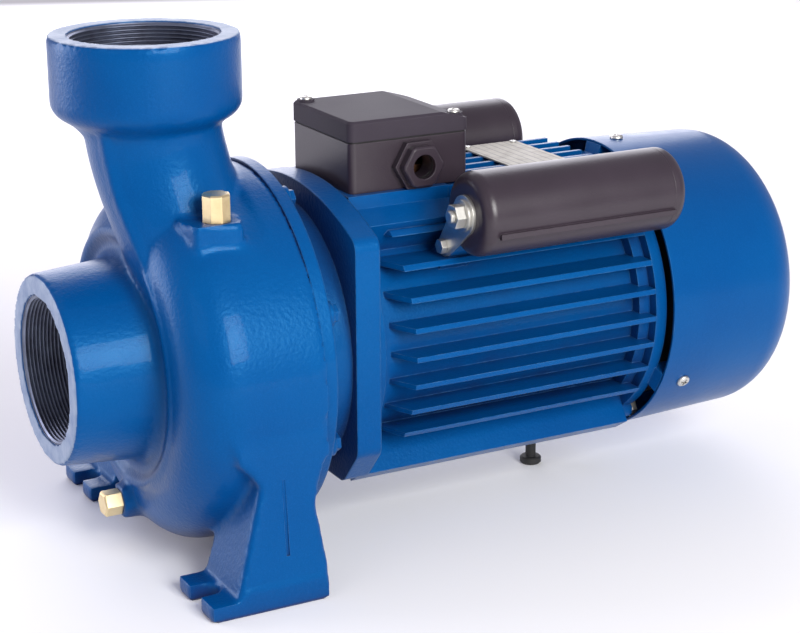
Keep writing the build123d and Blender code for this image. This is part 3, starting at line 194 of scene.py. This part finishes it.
def gloss_paint(name, grain, grain_scale, soft_edge, painted_shade, machined=()):
    """Thick blue gloss over metal; grain is how much of the casting shows through, in metres.

    The fifth argument is how dark the painted shade gets in wide hollows. The last holds (axis, place, side)
    of flat faces that were turned after painting, tinted pale blue-grey: partly bare metal, partly a painted
    reflection.
    """
    paint = Finish(name, (0.0, 0.06, 0.22), 0.3, Coat_Weight=0.06, Coat_Roughness=0.08, IOR=1.36,
                   Specular_Tint=(0.12, 0.55, 1.0, 1.0))
    broad = paint.noise(9.0, 4.0)
    cloudy = paint.noise(55.0, 3.0)
    speck = paint.noise(1400.0, 2.0)
    body = paint.mix(broad.step(0.35, 0.7), (0.0, 0.052, 0.2), (0.0, 0.068, 0.235))
    body = paint.mix(speck.step(0.45, 0.75) * 0.35, body, (0.004, 0.085, 0.29))
    # darker navy in small crevices, in cloudy patches
    crevice_darkening = (cloudy * paint.hollow(0.012)).step(0.1, 0.5)
    darkened_and_shaded = paint.mix(crevice_darkening * 0.6, body, (0.014, 0.02, 0.09))
    # painted shade: wide hollows darkened towards deep purple-navy
    darkened_and_shaded = paint.mix(paint.hollow(0.045).step(0.35, 0.8) * painted_shade, darkened_and_shaded, (0.016, 0.012, 0.06))
    rub = (paint.edge(0.001) * paint.noise(150.0, 5.0, 0.65)).step(0.36, 0.62)
    wear_shade_and_sheen = paint.mix(rub * 0.6, darkened_and_shaded, (0.1, 0.24, 0.46))
    rough = 0.25 + 0.14 * cloudy + 0.1 * rub
    # painted reflection, partly bare turned metal: flat port faces tinted pale blue-grey
    for axis, place, side in machined:
        along = paint.node("ShaderNodeSeparateXYZ", out=axis, Vector=paint.place)
        near = (side * (along - place)).step(-0.0006, -0.0003)
        turned = near * (0.55 + 0.45 * paint.noise(90.0, 4.0).step(0.3, 0.65))
        wear_shade_and_sheen = paint.mix(turned * 0.8, wear_shade_and_sheen, (0.36, 0.42, 0.52))
        rough = rough + 0.12 * near
    paint.color(wear_shade_and_sheen)
    paint.roughness(rough)
    cast = paint.noise(grain_scale, 3.0, 0.55)
    runs = paint.noise(38.0, 2.0)
    paint.relief(cast + 0.9 * runs, grain, soft_edge)
    return paint.material


port_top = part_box("pump_casing")[1].z
port_faces = ((2, port_top, 1.0), (0, 0.0, -1.0))
# the fifth argument sets the painted shade in wide hollows: 0.75 on the casing, 0.6 on the bracket; the
# casing's port faces get a pale painted reflection, partly bare metal
casing_paint = gloss_paint("casing_gloss_paint", 0.0003, 420.0, 0.0, 0.75, port_faces)
bracket_paint = gloss_paint("bracket_gloss_paint", 0.0003, 420.0, 0.002, 0.6)
motor_paint = gloss_paint("motor_gloss_paint", 0.0002, 500.0, 0.0011, 0.0)
cover_paint = gloss_paint("cover_gloss_paint", 0.0001, 260.0, 0.0012, 0.0)


def moulded_plastic(name, color, grain, roughness, refraction=1.48):
    """Moulded plastic with a fine satin grain and scuffed corners."""
    plastic = Finish(name, color, roughness, IOR=refraction)
    patch = plastic.noise(24.0, 4.0)
    scuff = (plastic.edge(0.0008) * plastic.noise(210.0, 4.0)).step(0.2, 0.6)
    lighter = tuple(min(1.0, part * 1.9 + 0.02) for part in color)
    shade = plastic.mix(patch.step(0.3, 0.75), tuple(part * 0.8 for part in color), color)
    plastic.color(plastic.mix(scuff * 0.5, shade, lighter))
    plastic.roughness(roughness + 0.14 * patch - 0.06)
    plastic.relief(plastic.noise(900.0, 2.0), grain, 0.0009)
    return plastic.material


black_plastic = moulded_plastic("black_moulded_plastic", (0.032, 0.022, 0.032), 0.00006, 0.33)
lid_plastic = moulded_plastic("lid_moulded_plastic", (0.045, 0.037, 0.05), 0.0001, 0.55, 1.22)
fan_plastic = moulded_plastic("fan_nylon", (0.03, 0.03, 0.034), 0.00008, 0.5)
cage_plastic = moulded_plastic("cage_nylon", (0.3, 0.24, 0.14), 0.00005, 0.45)
board_plastic = moulded_plastic("board_resin", (0.2, 0.09, 0.045), 0.00005, 0.38)
rubber = moulded_plastic("nitrile_rubber", (0.018, 0.018, 0.018), 0.00008, 0.62)
carbon = moulded_plastic("carbon_graphite", (0.04, 0.04, 0.042), 0.00003, 0.4)
ceramic = moulded_plastic("alumina_ceramic", (0.8, 0.77, 0.7), 0.00002, 0.25)


def bare_metal(name, color, tarnish, roughness, axis=(1.0, 1.0, 1.0), depth=0.00004):
    """Turned, ground or plated metal; axis stretches the tool marks."""
    metal = Finish(name, color, roughness, 1.0)
    marks = metal.noise(700.0, 3.0, 0.6, metal.stretched(*axis))
    stain = metal.noise(60.0, 5.0, 0.6).step(0.42, 0.72)
    dull = (stain * 0.6 + metal.hollow(0.004) * 0.7).clamped()
    metal.color(metal.mix(dull, color, tarnish))
    metal.roughness(roughness + 0.2 * dull + 0.1 * marks - 0.05)
    metal.relief(marks, depth, 0.0005)
    return metal.material


stainless = bare_metal("ground_stainless", (0.62, 0.61, 0.59), (0.4, 0.38, 0.36), 0.28)
zinc = bare_metal("zinc_plate", (0.74, 0.73, 0.68), (0.42, 0.41, 0.38), 0.34)
brass = bare_metal("turned_brass", (0.9, 0.74, 0.44), (0.6, 0.43, 0.2), 0.34, (0.3, 0.3, 3.0))
copper = bare_metal("varnished_copper", (0.6, 0.24, 0.09), (0.25, 0.1, 0.04), 0.35, (0.3, 4.0, 4.0), 0.0003)
laminations = bare_metal("stacked_steel", (0.36, 0.36, 0.38), (0.16, 0.16, 0.18), 0.45, (6.0, 0.2, 0.2),
                         0.0001)
iron = bare_metal("bare_cast_iron", (0.3, 0.285, 0.27), (0.14, 0.1, 0.07), 0.5)
aluminium = bare_metal("bare_aluminium", (0.78, 0.77, 0.74), (0.5, 0.5, 0.48), 0.36)



def ruled_plate(name):
    """Dull rating plate with ruled lines, left blank."""
    plate = Finish(name, (0.4, 0.38, 0.32), 0.5, 0.35)
    smear = plate.noise(130.0, 4.0, 0.6)
    along = plate.node("ShaderNodeSeparateXYZ", out=0, Vector=plate.place)
    ruled = 1.0 - (along / 0.006).calc("FRACT").step(0.1, 0.16)
    lined = plate.mix(ruled * 0.7, (0.42, 0.4, 0.34), (0.1, 0.1, 0.12))
    plate.color(plate.mix(smear.step(0.45, 0.75) * 0.5, lined, (0.22, 0.2, 0.17)))
    plate.roughness(0.42 + 0.2 * smear)
    plate.relief(smear, 0.00003, 0.0005)
    return plate.material


plate_finish = ruled_plate("blank_rating_plate")

FINISH_OF_SLOT = {
    "casing_blue": casing_paint,
    "motor_blue": motor_paint,
    "cover_blue": cover_paint,
    "iron": iron,
    "stainless": stainless,
    "zinc_steel": zinc,
    "laminations": laminations,
    "copper": copper,
    "brass": brass,
    "bare_aluminium": aluminium,
    "black_plastic": black_plastic,
    "cage_nylon": cage_plastic,
    "fan_nylon": fan_plastic,
    "board_resin": board_plastic,
    "black_rubber": rubber,
    "carbon": carbon,
    "ceramic": ceramic,
}
slot_of_node = {row["node"]: row["material_slot"] for row in frame["record"]["subparts"]}


def dress(node, finish):
    for index in range(len(nodes[node].material_slots)):
        nodes[node].material_slots[index].material = finish


for name in nodes:
    dress(name, FINISH_OF_SLOT[slot_of_node[name]])
dress("terminal_box_lid", lid_plastic)
dress("motor_bracket", bracket_paint)
dress("casing_bolts", bracket_paint)
dress("nameplate", plate_finish)


# ---------------------------------------------------------------- bench tools


def alone(piece):
    bpy.ops.object.select_all(action="DESELECT")
    piece.select_set(True)
    bpy.context.view_layer.objects.active = piece


def modify(piece, kind, **settings):
    """Adds a modifier and applies it at once."""
    alone(piece)
    step = piece.modifiers.new(kind.lower(), kind)
    for name, value in settings.items():
        setattr(step, name, value)
    bpy.ops.object.modifier_apply(modifier=step.name)


def named(piece, name, finish):
    piece.name = name
    piece.data.name = name
    piece.data.materials.clear()
    piece.data.materials.append(finish)
    return piece


def smooth(piece, angle=35.0):
    alone(piece)
    bpy.ops.object.shade_smooth_by_angle(angle=math.radians(angle))


def facing_out(piece):
    alone(piece)
    bpy.ops.object.mode_set(mode="EDIT")
    bpy.ops.mesh.select_all(action="SELECT")
    bpy.ops.mesh.remove_doubles(threshold=0.00001)
    bpy.ops.mesh.normals_make_consistent(inside=False)
    bpy.ops.object.mode_set(mode="OBJECT")


def from_node(node, name, finish):
    """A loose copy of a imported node's surface, welded into one skin."""
    piece = bpy.data.objects.new(name, nodes[node].data.copy())
    scene.collection.objects.link(piece)
    named(piece, name, finish)
    facing_out(piece)
    return piece


def rod(radius, start, end, sides=96):
    """A plain round cutter between two points."""
    start, end = Vector(start), Vector(end)
    bpy.ops.object.select_all(action="DESELECT")
    bpy.ops.mesh.primitive_cylinder_add(vertices=sides, radius=radius, depth=(end - start).length)
    cutter = bpy.context.object
    turned = (end - start).to_track_quat("Z", "Y").to_matrix().to_4x4()
    cutter.data.transform(Matrix.Translation((start + end) / 2) @ turned)
    return cutter


def cut(piece, cutter):
    modify(piece, "BOOLEAN", operation="DIFFERENCE", object=cutter, solver="EXACT")
    bpy.data.objects.remove(cutter)


def turned_piece(name, profile, finish, place, axis, sides=64):
    """Spins a closed outline of (along, radius) once round an axis through a place."""
    mesh = bpy.data.meshes.new(name)
    points = [(radius, 0.0, along) for along, radius in profile]
    mesh.from_pydata(points, [(i, (i + 1) % len(points)) for i in range(len(points))], [])
    piece = bpy.data.objects.new(name, mesh)
    scene.collection.objects.link(piece)
    alone(piece)
    bpy.ops.object.mode_set(mode="EDIT")
    bpy.ops.mesh.select_all(action="SELECT")
    bpy.ops.mesh.spin(steps=sides, angle=math.tau, center=(0, 0, 0), axis=(0, 0, 1))
    bpy.ops.object.mode_set(mode="OBJECT")
    facing_out(piece)
    turned = Vector(axis).to_track_quat("Z", "Y").to_matrix().to_4x4()
    piece.data.transform(Matrix.Translation(Vector(place)) @ turned)
    return named(piece, name, finish)


def joined(pieces, name):
    bpy.ops.object.select_all(action="DESELECT")
    for piece in pieces:
        piece.select_set(True)
    bpy.context.view_layer.objects.active = pieces[0]
    bpy.ops.object.join()
    pieces[0].name = name
    return pieces[0]


def middle_of(node):
    low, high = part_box(node)
    return (low + high) / 2


# ---------------------------------------------------------------- pump casing

casing_low, casing_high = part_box("pump_casing")
floor_z = casing_low.z
joint_x = casing_high.x
discharge = next(mount for mount in frame["record"]["mounts"] if mount["name"] == "discharge_port")
PORT_R = discharge["dims"]["r_mm"] * MM
PORT_DEPTH = discharge["dims"]["length_mm"] * MM
discharge_x = discharge["pos_m"][0]


# crease that runs down the front of the neck and turns into the ridge around the nose
CREASE = [Vector((34.5, -22, 143)) * MM, Vector((39.1, -27, 106)) * MM, Vector((48, -47.5, 64)) * MM,
          Vector((54.9, -72.5, 20)) * MM]
CREASE_OUTWARD = Vector((-0.6, -0.8, 0.0))
CREASE_REACH = 6 * MM
CREASE_HEIGHT = 1.4 * MM
FACE_MARGIN = 3 * MM        # around machined faces that stay sharp
PAD_TOP = floor_z + 13 * MM
VENT_SEAT = (Vector((0.0, -90 * MM, 84 * MM)), Vector((103 * MM, -48 * MM, 97 * MM)))
NOSE_RIDGE = (60 * MM, 84 * MM)     # radii around the shaft axis
NOSE_END = 60 * MM


def crease_share(spot):
    """1 on the crest of the crease, falling to 0 at its reach."""
    for upper, lower in zip(CREASE, CREASE[1:]):
        nearest, along = intersect_point_line(spot, upper, lower)
        if 0 <= along <= 1 and (spot - nearest).length < CREASE_REACH:
            return 1.0 - (spot - nearest).length / CREASE_REACH
    return 0.0


def cast_softness(spot):
    """How far the sand casting's corners are rounded at a point: 0 keeps a machined edge."""
    if crease_share(spot) > 0.0:
        return 0.1
    if spot.x < FACE_MARGIN or spot.z > casing_high.z - FACE_MARGIN or spot.x > joint_x - 2 * MM:
        return 0.12
    if spot.z < PAD_TOP:
        return 0.25
    if all(VENT_SEAT[0][side] < spot[side] < VENT_SEAT[1][side] for side in range(3)):
        return 0.2
    if spot.x < NOSE_END and NOSE_RIDGE[0] < math.hypot(spot.y, spot.z) < NOSE_RIDGE[1]:
        return 0.3
    return 1.0


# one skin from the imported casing, worn soft like a sand casting, with its faces and bores cut true again
casing = from_node("pump_casing", "cast_casing", casing_paint)
modify(casing, "REMESH", mode="VOXEL", voxel_size=2.0 * MM)
soft = casing.vertex_groups.new(name="soft")
for point in casing.data.vertices:
    soft.add([point.index], cast_softness(point.co), "REPLACE")
modify(casing, "SMOOTH", factor=0.5, iterations=10, vertex_group="soft")
for point in casing.data.vertices:
    # the smoothing wears the crease down, so its crest is drawn out again
    point.co += crease_share(point.co) * CREASE_HEIGHT * CREASE_OUTWARD
    for side in range(3):
        if point.co[side] < casing_low[side] + 0.9 * MM:
            point.co[side] = casing_low[side]
        if point.co[side] > casing_high[side] - 0.9 * MM:
            point.co[side] = casing_high[side]
cut(casing, rod(PORT_R, (-2 * MM, 0, 0), (PORT_DEPTH, 0, 0)))
port_top_middle = Vector((discharge_x, 0, casing_high.z))
upright = Vector((0, 0, 1))
cut(casing, rod(PORT_R, port_top_middle + 2 * MM * upright, port_top_middle - PORT_DEPTH * upright))
# parting groove down the outside of each leg
for side in (-1, 1):
    groove_foot = Vector((98, side * 122.9, -91)) * MM
    groove_head = Vector((99, side * 117.2, -47)) * MM
    cut(casing, rod(1.1 * MM, groove_foot, groove_head, 12))
smooth(casing, 50)
named(casing, "cast_casing", casing_paint)
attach(casing, "pump")
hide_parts("pump_casing")

# pipe threads in both mouths
thread_metal = bare_metal("cut_pipe_thread", (0.22, 0.25, 0.33), (0.07, 0.07, 0.1), 0.42)
PITCH = 2.309 * MM
CREST_R = 42.6 * MM
threads = [(1.0 * MM, PORT_R + 0.4 * MM), (1.0 * MM, PORT_R)]
for turn in range(14):
    start = 1.6 * MM + turn * PITCH
    threads += [(start, PORT_R - 0.02 * MM), (start + 0.42 * PITCH, CREST_R), (start + 0.58 * PITCH, CREST_R)]
threads += [(34.5 * MM, PORT_R), (34.5 * MM, PORT_R + 0.4 * MM)]
for name, place, axis in (("suction_thread", (0, 0, 0), (1, 0, 0)),
                          ("discharge_thread", port_top_middle, (0, 0, -1))):
    sleeve = turned_piece(name, threads, thread_metal, place, axis, 96)
    smooth(sleeve, 20)
    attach(sleeve, "pump")

# ---------------------------------------------------------------- screws and studs


def cross_screw(name, spot, axis, radius, height, finish, spin=0.3):
    """A round-headed screw with a cross recess; spot is the middle of its seat."""
    crown = [(0.0, 0.0), (0.0, radius)]
    for step in range(1, 7):
        angle = step / 7 * math.pi / 2
        crown.append((height * (0.35 + 0.65 * math.sin(angle)), radius * math.cos(angle) ** 0.6))
    crown += [(height, 0.0)]
    screw = turned_piece(name, crown, finish, (0, 0, 0), (0, 0, 1), 32)
    for turn in (spin, spin + math.pi / 2):
        bpy.ops.object.select_all(action="DESELECT")
        bpy.ops.mesh.primitive_cube_add(size=1)
        blade = bpy.context.object
        blade_size = Matrix.Diagonal((1.25 * radius, 0.26 * radius, 1.3 * height, 1))
        blade.data.transform(Matrix.Rotation(turn, 4, "Z") @ blade_size)
        blade.data.transform(Matrix.Translation((0, 0, 1.05 * height)))
        cut(screw, blade)
    turned = Vector(axis).to_track_quat("Z", "Y").to_matrix().to_4x4()
    screw.data.transform(Matrix.Translation(Vector(spot)) @ turned)
    smooth(screw, 30)
    return screw


COVER_HEAD_R, COVER_HEAD_HEIGHT = 4.3 * MM, 2.4 * MM
cover_low, cover_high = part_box("fan_cover_screws")
cover_screw_x = (cover_low.x + cover_high.x) / 2
cover_seat_r = cover_high.z - COVER_HEAD_HEIGHT
heads = []
for index, angle in enumerate((90, 210, 330)):
    outward = Vector((0, math.cos(math.radians(angle)), math.sin(math.radians(angle))))
    spot = Vector((cover_screw_x, 0, 0)) + outward * cover_seat_r
    heads.append(cross_screw(f"cover_screw_{index}", spot, outward, COVER_HEAD_R, COVER_HEAD_HEIGHT, zinc,
                             0.3 + index))
cover_heads = joined(heads, "cover_screw_heads")
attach(cover_heads, "pump")
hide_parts("fan_cover_screws")

# the two lid screws sit on a diagonal, the near one lower because the lid falls away there
LID_HEAD_R, LID_HEAD_HEIGHT = 3.8 * MM, 2 * MM
lid_low, lid_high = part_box("lid_screws")
near_top = max(point.co.z for point in nodes["lid_screws"].data.vertices if point.co.y < 0)
lid_places = (
    (lid_low.x + LID_HEAD_R, lid_high.y - LID_HEAD_R, lid_high.z - LID_HEAD_HEIGHT),
    (lid_high.x - LID_HEAD_R, lid_low.y + LID_HEAD_R, near_top - LID_HEAD_HEIGHT),
)
lid_heads = joined([cross_screw(f"lid_screw_{index}", spot, (0, 0, 1), LID_HEAD_R, LID_HEAD_HEIGHT, zinc,
                                0.7 * index)
                    for index, spot in enumerate(lid_places)], "lid_screw_heads")
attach(lid_heads, "pump")
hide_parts("lid_screws")

# capacitor studs, from their free end to inside the sleeve
STUD_REACH = 12 * MM
studs = []
for index, side in enumerate(("near", "far")):
    sleeve_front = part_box(f"{side}_capacitor_sleeve")[0].x
    centre = middle_of(f"{side}_capacitor_cap")
    rod_profile = [(0.0, 0.0), (0.0, 3.3 * MM), (0.7 * MM, 4.0 * MM)]
    for turn in range(8):
        start = 1.0 * MM + turn * 1.25 * MM
        rod_profile += [(start, 4.0 * MM), (start + 0.62 * MM, 3.35 * MM)]
    rod_profile += [(11.5 * MM, 4.0 * MM), (14.9 * MM, 4.0 * MM), (14.9 * MM, 0.0)]
    start = Vector((sleeve_front - STUD_REACH, centre.y, centre.z))
    stud = turned_piece(f"stud_{index}", rod_profile, zinc, start, (1, 0, 0), 32)
    smooth(stud, 20)
    studs.append(stud)
threaded_studs = joined(studs, "threaded_studs")
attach(threaded_studs, "pump")
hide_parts("capacitor_studs")


# ---------------------------------------------------------------- floor, light, camera

bpy.ops.object.select_all(action="DESELECT")
bpy.ops.mesh.primitive_plane_add(size=30, location=(0, 0, cad_box[0].z))
floor = bpy.context.object
floor.name = "floor"
ground = Finish("pale_floor", (0.95, 0.95, 0.95), 0.8)
floor.data.materials.append(ground.material)

scene.view_settings.view_transform = "Standard"
scene.world = bpy.data.worlds.new("studio")
scene.world.use_nodes = True
studio = scene.world.node_tree
dim = studio.nodes["Background"]
dim.inputs["Color"].default_value = (0.93, 0.89, 1.0, 1)
dim.inputs["Strength"].default_value = 0.5
bright = studio.nodes.new("ShaderNodeBackground")
bright.inputs["Color"].default_value = (0.985, 0.985, 1.0, 1)
bright.inputs["Strength"].default_value = 1.0
which = studio.nodes.new("ShaderNodeMixShader")
studio.links.new(studio.nodes.new("ShaderNodeLightPath").outputs["Is Camera Ray"], which.inputs[0])
studio.links.new(dim.outputs[0], which.inputs[1])
studio.links.new(bright.outputs[0], which.inputs[2])
studio.links.new(which.outputs[0], studio.nodes["World Output"].inputs["Surface"])


def soft_light(name, place, aim, size, power, color=(1, 1, 1)):
    lamp = bpy.data.lights.new(name, "AREA")
    lamp.size = size
    lamp.energy = power
    lamp.color = color
    holder = bpy.data.objects.new(name, lamp)
    holder.location = place
    holder.rotation_mode = "QUATERNION"
    holder.rotation_quaternion = (Vector(aim) - Vector(place)).to_track_quat("-Z", "Y")
    holder.visible_camera = False
    scene.collection.objects.link(holder)


middle = (cad_box[0] + cad_box[1]) / 2
soft_light("key_light", (0.3, -1.85, 0.85), middle, 1.0, 46, (1, 0.99, 0.97))
soft_light("left_light", (-1.5, -0.9, 0.9), middle, 0.9, 2, (0.9, 0.9, 1.0))
soft_light("left_back_light", (-1.5, 1.4, 0.25), middle, 1.4, 34, (0.9, 0.88, 1.0))
soft_light("back_light", (0.95, 1.8, 0.75), middle, 1.7, 24, (0.93, 0.92, 1.0))

camera = bpy.data.objects.new("camera", bpy.data.cameras.new("camera"))
camera.data.lens = 88.88
camera.data.sensor_width = 36.0
camera.data.clip_start = 0.05
camera.data.clip_end = 50.0
eye = Vector((-0.3301, -1.0639, 0.3743))
look = (Vector((0.2362, 0.0, -0.0029)) - eye).normalized()
right = look.cross(Vector((0, 0, 1))).normalized()
roll = Matrix.Rotation(math.radians(0.309), 3, look)
right = roll @ right
up = right.cross(look)
turn = Matrix((right, up, -look)).transposed()
camera.matrix_world = Matrix.Translation(eye) @ turn.to_4x4()
scene.collection.objects.link(camera)
scene.camera = camera
